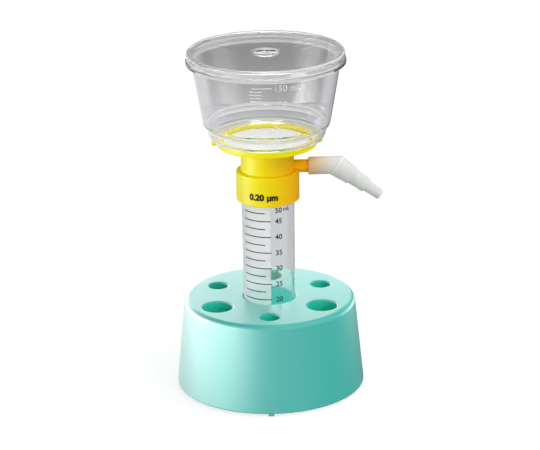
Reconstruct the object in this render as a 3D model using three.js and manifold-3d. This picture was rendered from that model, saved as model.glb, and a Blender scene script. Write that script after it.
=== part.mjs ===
// Vacuum filtration unit: a screw-on filter with a covered funnel, on a 50 mL conical tube in a stand.
// Millimetres, +Z up. The origin is the centre of the stand's middle foot, on the surface it stands on.
import * as THREE from 'three';
import * as BufferGeometryUtils from 'three/addons/utils/BufferGeometryUtils.js';
import Module from 'manifold-3d';

const wasm = await Module();
wasm.setup();

// ---- Clearances ----
const seatGap = 0.3;
const tubeSideGap = 0.45;
const socketGap = 0.3;
const threadGap = 0.4;

// ---- Stand ----
const standHeight = 52.0;
const standBaseRadius = 53.4;
const standTaperDegrees = 5.6;
const standShoulderFillet = 3.2;
const standWall = 2.2;
const standDeck = 2.6;
const standInnerFillet = 2.0;
const rimEdgeFillet = 0.8;
const footHeight = 1.4;
const footWidth = 3.4;
const footDepth = 1.8;
const footInset = 0.3;
const footCount = 3;
const centreFootRadius = 4.2;
const centreWellFloorHeight = 9.0;
const wellPitchRadius = 33.9;
const wellWall = 1.6;
const wellLipFillet = 0.9;
const wellFloorFillet = 2.0;
const largeWellRadius = 8.5;
const largeWellDepth = 46.0;
const smallWellRadius = 5.5;
const smallWellDepth = 38.0;
const wellPairs = 3;
const largeWellAngle = -30.0;
const smallWellAngle = -90.0;
const footAngle = -90.0;

// ---- Tube ----
const tubeLength = 115.0;
const tubeRimRadius = 14.85;
const tubeTaperDegrees = 0.28;
const tubeWall = 1.2;
const tubeTipWall = 1.9;
const tubeConeHeight = 14.8;
const tubeTipRadius = 2.4;
const tubeTipFillet = 1.2;
const tubeShoulderFillet = 2.5;

// ---- Screw thread between tube and collar ----
const threadPitch = 3.0;
const threadTurns = 1.5;
const threadHeight = 1.0;
const threadRootWidth = 1.4;
const threadCrestWidth = 0.8;
const threadBelowRim = 2.4;
const threadRootDepth = 0.4;

// ---- Filter base ----
const collarRadius = 17.7;
const collarHeight = 17.0;
const collarFillet = 2.2;
const collarRoof = 1.4;
const collarMouthFillet = 0.6;
const gasketThickness = 1.2;
const gasketBore = 12.9;
const neckRadius = 14.9;
const neckWall = 1.6;
const neckHeight = 13.9;
const neckFillet = 0.8;
const spoutRadius = 4.0;
const spoutBore = 2.6;
const spoutReach = 6.0;
const dishFloor = 1.2;
const flangeRadius = 27.8;
const flangeRise = 0.9;
const flangeFillet = 0.7;
const flangeChamferWidth = 3.4;
const membraneRadius = 24.4;
const membraneThickness = 0.2;
const membraneRecess = 1.8;
const supportThickness = 0.6;
const lugReach = 3.1;
const lugWidth = 4.0;
const lugThickness = 2.0;
const lugRise = 0.3;
const lugCount = 2;
const lugAngle = 3.3;

// ---- Vacuum port ----
const portRise = 1.5;
const portRadius = 3.6;
const portBore = 2.0;
const portReach = 33.0;
const portMouthFillet = 0.4;

// ---- Funnel ----
const skirtGap = 0.4;
const bowlFootRadius = 30.4;
const bowlFootFillet = 0.8;
const bowlHeelRadius = 32.3;
const bowlHeelHeight = 3.2;
const bowlHeelFillet = 3.0;
const bowlFloor = 1.5;
const bowlFloorBore = 25.6;
const bowlFloorFillet = 2.0;
const bowlStepRadius = 33.4;
const bowlStepHeight = 7.15;
const bowlShoulderRise = 4.35;
const bowlShoulderOut = 2.3;
const bowlLedgeWidth = 1.6;
const bowlLedgeDrop = 1.2;
const bowlLedgeFillet = 0.5;
const bowlWall = 1.5;
const bowlHeelWall = 2.0;
const bowlTaperDegrees = 9.6;
const bowlRimHeight = 49.3;
const lipDrop = 5.0;
const lipRadius = 44.4;
const lipThickness = 2.2;
const lipFillet = 0.5;

// ---- Lid ----
const lidRadius = 43.8;
const lidPlate = 1.0;
const lidRimRise = 0.5;
const lidRimWidth = 1.8;
const lidSkirtWall = 0.8;
const lidEdgeFillet = 0.8;
const lidDimpleRadius = 7.0;
const lidDimpleDepth = 1.2;
const lidDimpleFillet = 0.8;

// ---- Hose adapter ----
const adapterStart = 22.7;
const adapterRadius = 5.0;
const adapterMitreX = 38.5;
const adapterBendDegrees = 36.0;
const adapterSocketDepth = 10.6;
const adapterBore = 1.9;
const adapterEdge = 0.5;
const elbowLength = 10.8;
const elbowEndRadius = 5.25;
const barrelLength = 9.8;
const barrelStartRadius = 4.5;
const barrelEndRadius = 4.25;
const tipLength = 9.9;
const tipStartRadius = 3.3;
const tipEndRadius = 2.95;

// ---- Smoothness ----
const bodySegments = 48;
const tubeSegments = 36;
const largeWellSegments = 20;
const smallWellSegments = 16;
const portSegments = 24;
const threadStepsPerTurn = 24;
const filletSteps = 2;
const shoulderSteps = 3;

// ---- Shape helpers ----

const degrees = THREE.MathUtils.degToRad;

// Corners are [radius, height, fillet]; a corner with a fillet becomes an arc limited by its edges.
function outline(corners) {
  const count = corners.length;
  const at = (index) => new THREE.Vector2(...corners[(index + count) % count].slice(0, 2));
  const points = [];
  corners.forEach(([, , fillet = 0], index) => {
    const corner = at(index);
    if (fillet === 0) {
      points.push(corner);
      return;
    }
    const before = at(index - 1).sub(corner);
    const after = at(index + 1).sub(corner);
    const half = before.angleTo(after) / 2;
    const longest = 0.45 * Math.min(before.length(), after.length());
    const reach = Math.min(fillet / Math.tan(half), longest);
    const radius = reach * Math.tan(half);
    before.normalize();
    after.normalize();
    const bisector = before.clone().add(after).normalize();
    const centre = corner.clone().addScaledVector(bisector, radius / Math.sin(half));
    const start = corner.clone().addScaledVector(before, reach).sub(centre);
    const end = corner.clone().addScaledVector(after, reach).sub(centre);
    const sweep = Math.atan2(start.cross(end), start.dot(end));
    for (let step = 0; step <= filletSteps; step += 1) {
      const turned = start.clone().rotateAround(new THREE.Vector2(), (sweep * step) / filletSteps);
      points.push(turned.add(centre));
    }
  });
  return points;
}

// Exact copy of a geometry as a manifold solid, with its faces turned outward.
function solidOf(geometry) {
  const bare = geometry.clone();
  bare.deleteAttribute('normal');
  bare.deleteAttribute('uv');
  const merged = BufferGeometryUtils.mergeVertices(bare, 1e-4);
  const position = merged.getAttribute('position');
  const kept = [];
  const index = merged.index.array;
  let volume = 0;
  const corner = (vertex) => new THREE.Vector3().fromBufferAttribute(position, vertex);
  for (let face = 0; face < index.length; face += 3) {
    const [a, b, c] = [index[face], index[face + 1], index[face + 2]];
    if (a !== b && b !== c && c !== a) {
      kept.push(a, b, c);
      volume += corner(a).dot(corner(b).cross(corner(c)));
    }
  }
  if (volume < 0) {
    kept.reverse();
  }
  const mesh = new wasm.Mesh({
    numProp: 3,
    vertProperties: new Float32Array(position.array),
    triVerts: new Uint32Array(kept),
  });
  return new wasm.Manifold(mesh);
}

// Solid of revolution about +Z. A ring's outline closes on itself; any other starts and ends on the axis.
function turned(corners, segments) {
  const points = outline(corners);
  const onAxis = points[0].x === 0 && points[points.length - 1].x === 0;
  if (!onAxis) {
    points.push(points[0].clone());
  }
  const geometry = new THREE.LatheGeometry(points, segments);
  geometry.rotateX(Math.PI / 2);
  return solidOf(geometry);
}

// Skin through rings that hold the same number of points, closed by a flat cap at each end.
function skin(rings) {
  const size = rings[0].length;
  const vertices = rings.flat();
  const index = [];
  for (let ring = 0; ring + 1 < rings.length; ring += 1) {
    for (let step = 0; step < size; step += 1) {
      const next = (step + 1) % size;
      const [a, b] = [ring * size + step, ring * size + next];
      index.push(a, b, b + size, a, b + size, a + size);
    }
  }
  [0, rings.length - 1].forEach((ring) => {
    const centre = vertices.length;
    const middle = new THREE.Vector3();
    rings[ring].forEach((point) => middle.addScaledVector(point, 1 / size));
    vertices.push(middle);
    for (let step = 0; step < size; step += 1) {
      const [a, b] = [ring * size + step, ring * size + ((step + 1) % size)];
      index.push(...(ring === 0 ? [centre, b, a] : [centre, a, b]));
    }
  });
  const geometry = new THREE.BufferGeometry().setFromPoints(vertices);
  geometry.setIndex(index);
  return solidOf(geometry);
}

// Helical ridge with a tapered section, rising anticlockwise; inward ridges point at the axis.
function threadRidge(rootRadius, crestRadius, startHeight, startAngle) {
  const rings = [];
  const steps = Math.round(threadTurns * threadStepsPerTurn);
  for (let step = 0; step <= steps; step += 1) {
    const turn = step / threadStepsPerTurn;
    const angle = startAngle + turn * 2 * Math.PI;
    const height = startHeight + turn * threadPitch;
    const point = (radius, offset) => new THREE.Vector3(
      radius * Math.cos(angle), radius * Math.sin(angle), height + offset);
    rings.push([
      point(rootRadius, -threadRootWidth / 2),
      point(crestRadius, -threadCrestWidth / 2),
      point(crestRadius, threadCrestWidth / 2),
      point(rootRadius, threadRootWidth / 2),
    ]);
  }
  return skin(rings);
}

function box(width, depth, height) {
  return solidOf(new THREE.BoxGeometry(width, depth, height));
}

function aroundAxis(count, startDegrees, make) {
  return Array.from({ length: count }, (_, copy) => make(startDegrees + (copy * 360) / count));
}

function join(solids) {
  return solids.reduce((whole, solid) => whole.add(solid));
}

function cut(solid, tools) {
  return tools.reduce((whole, tool) => whole.subtract(tool), solid);
}

function meshOf(name, solid, look) {
  const { vertProperties, triVerts } = solid.getMesh();
  const geometry = new THREE.BufferGeometry();
  geometry.setAttribute('position', new THREE.BufferAttribute(new Float32Array(vertProperties), 3));
  geometry.setIndex(new THREE.BufferAttribute(new Uint32Array(triVerts), 1));
  geometry.computeVertexNormals();
  const mesh = new THREE.Mesh(geometry, new THREE.MeshStandardMaterial(look));
  mesh.name = name;
  return mesh;
}

// ---- Heights that follow from one another, from the table up ----

const tubeTip = centreWellFloorHeight + seatGap;
const tubeRim = tubeTip + tubeLength;
const gasketBottom = tubeRim + seatGap;
const roofUnderside = gasketBottom + gasketThickness + seatGap;
const collarTop = roofUnderside + collarRoof;
const collarBottom = collarTop - collarHeight;
const dishUnderside = collarTop + neckHeight;
const dishTop = dishUnderside + dishFloor;
const supportBottom = dishTop + seatGap;
const membraneBottom = supportBottom + supportThickness + seatGap;
const membraneTop = membraneBottom + membraneThickness;
const ringTop = membraneTop + membraneRecess;
const flangeBottom = dishUnderside + flangeRise;
const lugBottom = flangeBottom + lugRise;
const skirtBottom = lugBottom + lugThickness + skirtGap;
const bowlFloorBottom = ringTop + seatGap;
const bowlFloorTop = bowlFloorBottom + bowlFloor;
const bowlStepBottom = skirtBottom + bowlStepHeight;
const bowlShoulderTop = bowlStepBottom + bowlShoulderRise;
const bowlRimTop = skirtBottom + bowlRimHeight;
const lipBottom = bowlRimTop - lipDrop;
const lipTop = lipBottom + lipThickness;
const lidUnderside = bowlRimTop + seatGap;
const lidPlateTop = lidUnderside + lidPlate;
const lidTop = lidPlateTop + lidRimRise;
const portHeight = collarTop + portRise;

// ---- Radii that follow from one another ----

const tubeRadiusAt = (height) => (
  tubeRimRadius - (tubeRim - height) * Math.tan(degrees(tubeTaperDegrees)));
const tubeConeTop = tubeTip + tubeConeHeight;
const centreWellRadius = tubeRadiusAt(standHeight) + tubeSideGap;
const tubeThreadCrest = tubeRimRadius + threadHeight;
const collarBore = tubeThreadCrest + threadGap;
const collarThreadCrest = collarBore - threadHeight;
const bowlWallStart = bowlStepRadius + bowlShoulderOut;
const bowlSlope = Math.tan(degrees(bowlTaperDegrees));
const bowlRadiusAt = (height) => bowlWallStart + (height - bowlShoulderTop) * bowlSlope;
const bowlRimRadius = bowlRadiusAt(bowlRimTop);
const rimStubRadius = lidRadius - lidSkirtWall - seatGap;

// ---- Stand ----

// Rounded lip where a well opens through the deck, from the well's wall outward.
function wellLip(radius) {
  return Array.from({ length: filletSteps + 1 }, (_, step) => {
    const angle = (Math.PI / 2) * (step / filletSteps);
    return [
      radius + wellLipFillet * (1 - Math.cos(angle)),
      standHeight - wellLipFillet * (1 - Math.sin(angle)),
    ];
  });
}

function wellCutter(radius, depth, segments) {
  const floor = standHeight - depth;
  const above = standHeight + standDeck;
  return turned([
    [0, floor],
    [radius, floor, wellFloorFillet],
    ...wellLip(radius),
    [radius + wellLipFillet, above],
    [0, above],
  ], segments);
}

function wellCup(radius, depth, segments) {
  const underside = standHeight - depth - wellWall;
  return turned([
    [0, underside],
    [radius + wellWall, underside, wellFloorFillet + wellWall],
    [radius + wellWall, standHeight - standDeck / 2],
    [0, standHeight - standDeck / 2],
  ], segments);
}

// The middle well follows the tube's cone down to a closed floor, and stands on a foot of its own.
function centreWellCup() {
  const outer = centreWellRadius + wellWall;
  const bottom = centreWellFloorHeight - wellWall;
  return turned([
    [0, 0],
    [centreFootRadius, 0],
    [centreFootRadius, bottom],
    [tubeTipRadius + seatGap + wellWall * 2, bottom, wellWall],
    [outer, tubeConeTop - wellWall / 2, wellFloorFillet],
    [outer, standHeight - standDeck / 2],
    [0, standHeight - standDeck / 2],
  ], tubeSegments);
}

function centreWellCutter() {
  const above = standHeight + standDeck;
  return turned([
    [0, centreWellFloorHeight],
    [tubeTipRadius + seatGap, centreWellFloorHeight],
    [centreWellRadius, tubeConeTop],
    ...wellLip(centreWellRadius),
    [centreWellRadius + wellLipFillet, above],
    [0, above],
  ], tubeSegments);
}

function placed(solid, radius, angleDegrees) {
  const angle = degrees(angleDegrees);
  return solid.translate([radius * Math.cos(angle), radius * Math.sin(angle), 0]);
}

function standFoot(angleDegrees) {
  const height = footHeight + standWall / 2;
  const radius = standBaseRadius - footInset - footDepth / 2;
  const foot = box(footDepth, footWidth, height).translate([radius, 0, height / 2]);
  return foot.rotate([0, 0, angleDegrees]);
}

function stand() {
  const slope = Math.tan(degrees(standTaperDegrees));
  const shoulder = standBaseRadius - (standHeight - footHeight) * slope;
  const underDeck = standHeight - standDeck;
  const shell = turned([
    [0, standHeight],
    [shoulder, standHeight, standShoulderFillet],
    [standBaseRadius, footHeight, rimEdgeFillet],
    [standBaseRadius - standWall, footHeight],
    [shoulder - standWall + standDeck * slope, underDeck, standInnerFillet],
    [0, underDeck],
  ], bodySegments);
  const ring = (startAngle, radius, depth, segments) => aroundAxis(wellPairs, startAngle, (angle) => [
    placed(wellCup(radius, depth, segments), wellPitchRadius, angle),
    placed(wellCutter(radius, depth, segments), wellPitchRadius, angle),
  ]);
  const wells = [
    ...ring(largeWellAngle, largeWellRadius, largeWellDepth, largeWellSegments),
    ...ring(smallWellAngle, smallWellRadius, smallWellDepth, smallWellSegments),
    [centreWellCup(), centreWellCutter()],
  ];
  const feet = aroundAxis(footCount, footAngle, standFoot);
  return cut(join([shell, ...feet, ...wells.map(([cup]) => cup)]), wells.map(([, cutter]) => cutter));
}

// ---- Tube ----

function tube() {
  const coneRadius = tubeRadiusAt(tubeConeTop);
  const floor = tubeTip + tubeTipWall;
  const body = turned([
    [0, tubeTip],
    [tubeTipRadius, tubeTip, tubeTipFillet],
    [coneRadius, tubeConeTop, tubeShoulderFillet],
    [tubeRimRadius, tubeRim],
    [tubeRimRadius - tubeWall, tubeRim],
    [coneRadius - tubeWall, tubeConeTop + tubeWall / 2, tubeShoulderFillet],
    [tubeTipRadius - tubeWall / 2, floor],
    [0, floor],
  ], tubeSegments);
  const threadBottom = tubeRim - threadBelowRim - threadTurns * threadPitch;
  return body.add(threadRidge(tubeRimRadius - threadRootDepth, tubeThreadCrest, threadBottom, 0));
}

// ---- Filter base ----

function gasket() {
  const outer = collarBore - threadGap;
  return turned([
    [gasketBore, gasketBottom],
    [outer, gasketBottom],
    [outer, gasketBottom + gasketThickness],
    [gasketBore, gasketBottom + gasketThickness],
  ], tubeSegments);
}

function filterBaseBody() {
  const recess = membraneRadius + seatGap;
  const neckBore = neckRadius - neckWall;
  const spoutBottom = tubeRim - spoutReach;
  const chamfer = flangeRadius - flangeChamferWidth;
  return turned([
    [spoutBore, spoutBottom],
    [spoutRadius, spoutBottom],
    [spoutRadius, dishUnderside],
    [neckBore, dishUnderside],
    [neckBore, roofUnderside],
    [collarBore, roofUnderside],
    [collarBore, collarBottom],
    [collarRadius, collarBottom, collarMouthFillet],
    [collarRadius, collarTop, collarFillet],
    [neckRadius, collarTop, neckFillet],
    [neckRadius, dishUnderside, neckFillet],
    [chamfer, dishUnderside],
    [flangeRadius, flangeBottom, flangeFillet],
    [flangeRadius, ringTop, flangeFillet],
    [recess, ringTop, flangeFillet],
    [recess, dishTop],
    [spoutBore, dishTop],
  ], bodySegments);
}

function lug(angleDegrees) {
  const inner = membraneRadius + seatGap + flangeRadius;
  const start = inner / 2;
  const end = flangeRadius + lugReach;
  const block = box(end - start, lugWidth, lugThickness);
  const height = lugBottom + lugThickness / 2;
  return block.translate([(start + end) / 2, 0, height]).rotate([0, 0, angleDegrees]);
}

// Turned piece whose own axis is laid along +X at the port's height.
function alongPort(corners) {
  return turned(corners, portSegments).rotate([0, 90, 0]).translate([0, 0, portHeight]);
}

function filterBase() {
  const rootX = neckRadius - neckWall / 2;
  const inside = turned([
    [0, collarBottom],
    [collarBore, collarBottom],
    [collarBore, roofUnderside],
    [0, roofUnderside],
  ], bodySegments);
  const nipple = alongPort([
    [0, rootX],
    [portRadius, rootX],
    [portRadius, portReach, portMouthFillet],
    [0, portReach],
  ]).subtract(inside);
  const bore = alongPort([
    [0, neckRadius - neckWall * 2],
    [portBore, neckRadius - neckWall * 2],
    [portBore, portReach + neckWall],
    [0, portReach + neckWall],
  ]);
  const threadTop = tubeRim - threadBelowRim - threadPitch / 2;
  const threadBottom = threadTop - threadTurns * threadPitch;
  const ridge = threadRidge(collarBore + threadRootDepth, collarThreadCrest, threadBottom, 0);
  return cut(join([filterBaseBody(), nipple, ridge, ...aroundAxis(lugCount, lugAngle, lug)]), [bore]);
}

function disc(bottom, thickness) {
  return turned([
    [0, bottom],
    [membraneRadius, bottom],
    [membraneRadius, bottom + thickness],
    [0, bottom + thickness],
  ], bodySegments);
}

// ---- Funnel ----

// Arc that turns the wall in to the step, from the step up, in line with the wall at its top.
function bowlShoulder() {
  const taper = degrees(bowlTaperDegrees);
  const chord = Math.atan2(bowlShoulderOut, bowlShoulderRise);
  const sweep = 2 * (chord - taper);
  const radius = Math.hypot(bowlShoulderOut, bowlShoulderRise) / (2 * Math.sin(sweep / 2));
  return Array.from({ length: shoulderSteps + 1 }, (_, step) => {
    const angle = taper + sweep * (1 - step / shoulderSteps);
    return [
      bowlWallStart + radius * (Math.cos(angle) - Math.cos(taper)),
      bowlShoulderTop - radius * (Math.sin(angle) - Math.sin(taper)),
    ];
  });
}

function funnel() {
  const skirtBore = flangeRadius + seatGap;
  const ledge = bowlRadiusAt(bowlShoulderTop) - bowlWall;
  return turned([
    [skirtBore, skirtBottom],
    [bowlFootRadius, skirtBottom, bowlFootFillet],
    [bowlHeelRadius, skirtBottom + bowlHeelHeight, bowlHeelFillet],
    ...bowlShoulder(),
    [bowlRadiusAt(lipBottom), lipBottom],
    [lipRadius, lipBottom, lipFillet],
    [lipRadius, lipTop, lipFillet],
    [rimStubRadius, lipTop],
    [rimStubRadius, bowlRimTop, lipFillet],
    [bowlRimRadius - bowlWall, bowlRimTop, lipFillet],
    [ledge, bowlShoulderTop, bowlLedgeFillet],
    [ledge - bowlLedgeWidth, bowlShoulderTop - bowlLedgeDrop, bowlLedgeFillet],
    [bowlHeelRadius - bowlHeelWall, bowlFloorTop, bowlFloorFillet],
    [bowlFloorBore, bowlFloorTop],
    [bowlFloorBore, bowlFloorBottom],
    [skirtBore, bowlFloorBottom],
  ], bodySegments);
}

// ---- Lid ----

function lid() {
  const dimpleFloor = lidPlateTop - lidDimpleDepth;
  const dimpleUnderside = dimpleFloor - lidPlate;
  const dimpleOut = lidDimpleRadius + lidPlate;
  return turned([
    [0, dimpleFloor],
    [lidDimpleRadius, dimpleFloor, lidDimpleFillet],
    [lidDimpleRadius, lidPlateTop, lidDimpleFillet / 2],
    [lidRadius - lidRimWidth, lidPlateTop],
    [lidRadius - lidRimWidth, lidTop],
    [lidRadius, lidTop, lidEdgeFillet],
    [lidRadius, lipTop + seatGap],
    [lidRadius - lidSkirtWall, lipTop + seatGap],
    [lidRadius - lidSkirtWall, lidUnderside],
    [dimpleOut, lidUnderside],
    [dimpleOut - lidDimpleDepth / 2, dimpleUnderside, lidDimpleFillet],
    [0, dimpleUnderside],
  ], bodySegments);
}

// ---- Hose adapter ----

// Ring of points about a centre; wide is its half width along Y, tall its half height across the axis.
function adapterRing(centre, tiltDegrees, wide, tall) {
  const tilt = degrees(tiltDegrees);
  const up = new THREE.Vector3(Math.sin(tilt), 0, Math.cos(tilt));
  return Array.from({ length: portSegments }, (_, step) => {
    const angle = (step / portSegments) * 2 * Math.PI;
    const point = centre.clone().addScaledVector(up, tall * Math.sin(angle));
    point.y += wide * Math.cos(angle);
    return point;
  });
}

function hoseAdapter() {
  const bend = adapterBendDegrees;
  const mitreTall = adapterRadius / Math.cos(degrees(bend));
  const mitre = new THREE.Vector3(adapterMitreX, 0, portHeight);
  const down = new THREE.Vector3(Math.cos(degrees(bend)), 0, -Math.sin(degrees(bend)));
  const straight = (x, radius) => adapterRing(new THREE.Vector3(x, 0, portHeight), 0, radius, radius);
  const bent = (distance, wide, tall = wide) => (
    adapterRing(mitre.clone().addScaledVector(down, distance), bend, wide, tall));
  const rings = [
    straight(adapterStart, adapterRadius - adapterEdge),
    straight(adapterStart + adapterEdge, adapterRadius),
    bent(0, adapterRadius, mitreTall),
  ];
  const steps = [
    [elbowLength, mitreTall, elbowEndRadius],
    [barrelLength, barrelStartRadius, barrelEndRadius],
    [tipLength, tipStartRadius, tipEndRadius],
  ];
  let along = 0;
  steps.forEach(([length, startRadius, endRadius]) => {
    if (along > 0) {
      rings.push(bent(along, startRadius));
    }
    along += length;
    rings.push(bent(along - adapterEdge, endRadius), bent(along, endRadius - adapterEdge));
  });
  const socket = skin([
    straight(adapterStart - adapterEdge, portRadius + socketGap),
    straight(adapterStart + adapterSocketDepth, portRadius + socketGap),
  ]);
  const mitreBoreTall = adapterBore / Math.cos(degrees(bend));
  const bore = skin([
    straight(adapterStart, adapterBore),
    bent(0, adapterBore, mitreBoreTall),
    bent(elbowLength, adapterBore),
    bent(along + adapterEdge, adapterBore),
  ]);
  return cut(skin(rings), [socket, bore]);
}

// ---- Assembly ----

const clear = { transparent: true, opacity: 0.35, roughness: 0.08, metalness: 0 };
const teal = { color: 0x7fd0c8, roughness: 0.5, metalness: 0 };
const yellow = { color: 0xe8ce10, roughness: 0.35, metalness: 0 };
const clearTube = { ...clear, color: 0xdfe4e6 };
const clearBowl = { ...clear, color: 0xdcdfe4 };
const softWhite = { color: 0xf2f2f4, roughness: 0.9, metalness: 0 };
const sealWhite = { color: 0xe4e4e0, roughness: 0.7, metalness: 0 };
const milky = { color: 0xe2e4e4, roughness: 0.4, metalness: 0 };

const unit = new THREE.Group();
unit.add(
  meshOf('stand', stand(), teal),
  meshOf('tube', tube(), clearTube),
  meshOf('tube_gasket', gasket(), sealWhite),
  meshOf('filter_base', filterBase(), yellow),
  meshOf('membrane_support', disc(supportBottom, supportThickness), sealWhite),
  meshOf('membrane', disc(membraneBottom, membraneThickness), softWhite),
  meshOf('funnel', funnel(), clearBowl),
  meshOf('lid', lid(), clearBowl),
  meshOf('hose_adapter', hoseAdapter(), milky),
);

export default unit;
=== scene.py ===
"""Looks of a vacuum filtration unit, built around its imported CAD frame.

Lengths are in millimetres until a mesh is made, and heights and radii come from the frame's boxes
where the frame gives them. The viewer stands at -Y, the vacuum port points along +X.
"""
import math

import bmesh
import bpy
from mathutils import Matrix, Vector


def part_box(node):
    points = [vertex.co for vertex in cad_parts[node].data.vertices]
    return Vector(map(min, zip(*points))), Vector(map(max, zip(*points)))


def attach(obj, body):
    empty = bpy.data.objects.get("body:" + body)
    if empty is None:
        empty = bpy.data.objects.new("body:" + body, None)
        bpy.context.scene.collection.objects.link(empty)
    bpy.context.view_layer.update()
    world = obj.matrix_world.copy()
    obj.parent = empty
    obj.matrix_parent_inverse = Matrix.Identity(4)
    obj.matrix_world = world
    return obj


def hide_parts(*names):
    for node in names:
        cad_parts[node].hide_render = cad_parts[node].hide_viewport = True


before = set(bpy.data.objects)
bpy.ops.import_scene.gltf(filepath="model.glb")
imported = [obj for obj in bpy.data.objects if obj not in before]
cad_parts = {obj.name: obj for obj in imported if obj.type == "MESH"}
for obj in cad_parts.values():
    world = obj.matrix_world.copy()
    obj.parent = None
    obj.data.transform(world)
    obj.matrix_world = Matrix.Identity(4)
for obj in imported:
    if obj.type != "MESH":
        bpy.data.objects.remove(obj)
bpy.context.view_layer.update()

MM = 0.001
TURN = 2.0 * math.pi

# ---- Places that the frame gives ----


def low_mm(node):
    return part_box(node)[0] / MM


def high_mm(node):
    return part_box(node)[1] / MM


STAND_TOP = high_mm("stand").z
TUBE_TIP = low_mm("tube").z
TUBE_RIM = high_mm("tube").z
GASKET_BOTTOM = low_mm("tube_gasket").z
GASKET_TOP = high_mm("tube_gasket").z
COLLAR_BOTTOM = low_mm("filter_base").z
RING_TOP = high_mm("filter_base").z
PORT_REACH = high_mm("filter_base").x
SKIRT_BOTTOM = low_mm("funnel").z
BOWL_RIM = high_mm("funnel").z
LID_TOP = high_mm("lid").z
MEMBRANE_RADIUS = high_mm("membrane").x
ADAPTER_START = low_mm("hose_adapter").x

# ---- Smoothness ----
BODY_SEGMENTS = 160
TUBE_SEGMENTS = 128
WELL_SEGMENTS = 64
PORT_SEGMENTS = 64
THREAD_STEPS = 72
FILLET_STEPS = 6
SHARP_ANGLE = math.radians(34)
FILLET_SHARE = 0.45
ON_AXIS = 1e-6
SAME_PLACE = 1e-7

# ---- Shared sizes ----
SEAT_GAP = 0.3
EDGE_FAINT = 0.1
EDGE_FINE = 0.2
EDGE_SMALL = 0.3
EDGE_MEDIUM = 0.4
EDGE_FULL = 0.5
PAINT_MARGIN = 0.05

# ---- Stand ----
STAND_BASE_RADIUS = 53.35
STAND_TAPER = math.radians(5.6)
STAND_SHOULDER_FILLET = 3.2
STAND_WALL = 2.2
STAND_DECK = 2.6
STAND_INNER_FILLET = 2.0
STAND_RIM_FILLET = 0.8
FOOT_HEIGHT = 1.4
FOOT_WIDTH = 3.4
FOOT_DEPTH = 1.8
FOOT_BEVEL = 0.35
CENTRE_FOOT_RADIUS = 4.2
CENTRE_WELL_FLOOR = 9.0
WELL_PITCH_RADIUS = 33.9
WELL_WALL = 1.6
WELL_LIP = 0.9
WELL_FLOOR_FILLET = 2.0
LARGE_WELL = {"radius": 8.5, "depth": 46.0, "angles": (-30, 90, 210)}
SMALL_WELL = {"radius": 5.5, "depth": 38.0, "angles": (-90, 30, 150)}
TUBE_SIDE_GAP = 0.45

# ---- Tube ----
TUBE_RIM_RADIUS = 14.85
TUBE_TAPER = math.radians(0.28)
TUBE_WALL = 1.2
TUBE_TIP_WALL = 1.9
TUBE_CONE_HEIGHT = 14.8
TUBE_TIP_RADIUS = 2.4
TUBE_TIP_FILLET = 1.2
TUBE_SHOULDER_FILLET = 2.5
TUBE_RIM_FILLET = 0.35

# ---- Screw thread ----
THREAD_PITCH = 3.0
THREAD_TURNS = 1.5
THREAD_HEIGHT = 1.0
THREAD_ROOT_WIDTH = 1.4
THREAD_CREST_WIDTH = 0.8
THREAD_BELOW_RIM = 2.4
THREAD_ROOT_DEPTH = 0.4
THREAD_GAP = 0.4
THREAD_RUN_IN = 0.08
THREAD_END_SHARE = 0.35

# ---- Filter base ----
GASKET_BORE = 12.9
COLLAR_RADIUS = 17.7
COLLAR_HEIGHT = 17.0
COLLAR_FILLET = 2.2
COLLAR_ROOF = 1.4
COLLAR_MOUTH_FILLET = 0.6
NECK_RADIUS = 14.9
NECK_WALL = 1.6
NECK_HEIGHT = 13.9
NECK_FILLET = 0.8
SPOUT_RADIUS = 4.0
SPOUT_BORE = 2.6
SPOUT_REACH = 6.0
DISH_FLOOR = 1.2
FLANGE_RADIUS = 27.8
FLANGE_RISE = 0.9
FLANGE_FILLET = 0.7
FLANGE_CHAMFER = 3.4
FLANGE_ROOT_FILLET = 0.6
# Span along X of the yellow's painted shade, from lemon to orange.
BASE_SHADE_BLEND = (-14.0, 26.0)
MEMBRANE_EDGE = 0.08
LUG_REACH = 3.1
LUG_WIDTH = 4.0
LUG_THICKNESS = 2.0
LUG_RISE = 0.3
LUG_BEVEL = 0.45
LUG_ANGLE = 3.3

# ---- Vacuum port ----
PORT_RISE = 1.5
PORT_RADIUS = 3.6
PORT_BORE = 2.0
PORT_MOUTH_FILLET = 0.4

# ---- Funnel ----
BOWL_FOOT_RADIUS = 30.7
BOWL_FOOT_FILLET = 0.8
BOWL_FOOT_TRIM = 1.2
BOWL_HEEL_RADIUS = 32.3
BOWL_HEEL_HEIGHT = 3.2
BOWL_HEEL_FILLET = 3.0
BOWL_FLOOR = 1.5
BOWL_FLOOR_BORE = 25.6
BOWL_FLOOR_FILLET = 2.0
BOWL_WELD_RADIUS = 30.0
BOWL_STEP_RADIUS = 33.4
BOWL_STEP_HEIGHT = 7.15
BOWL_SHOULDER_RISE = 4.35
BOWL_SHOULDER_OUT = 2.3
BOWL_SHOULDER_STEPS = 14
BOWL_LEDGE_WIDTH = 1.6
BOWL_LEDGE_DROP = 1.2
BOWL_LEDGE_FILLET = 0.5
BOWL_WALL = 1.5
BOWL_HEEL_WALL = 2.0
BOWL_TAPER = math.radians(9.6)
LIP_DROP = 5.0
LIP_RADIUS = 44.4
LIP_THICKNESS = 2.2
LIP_FILLET = 0.5

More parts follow.
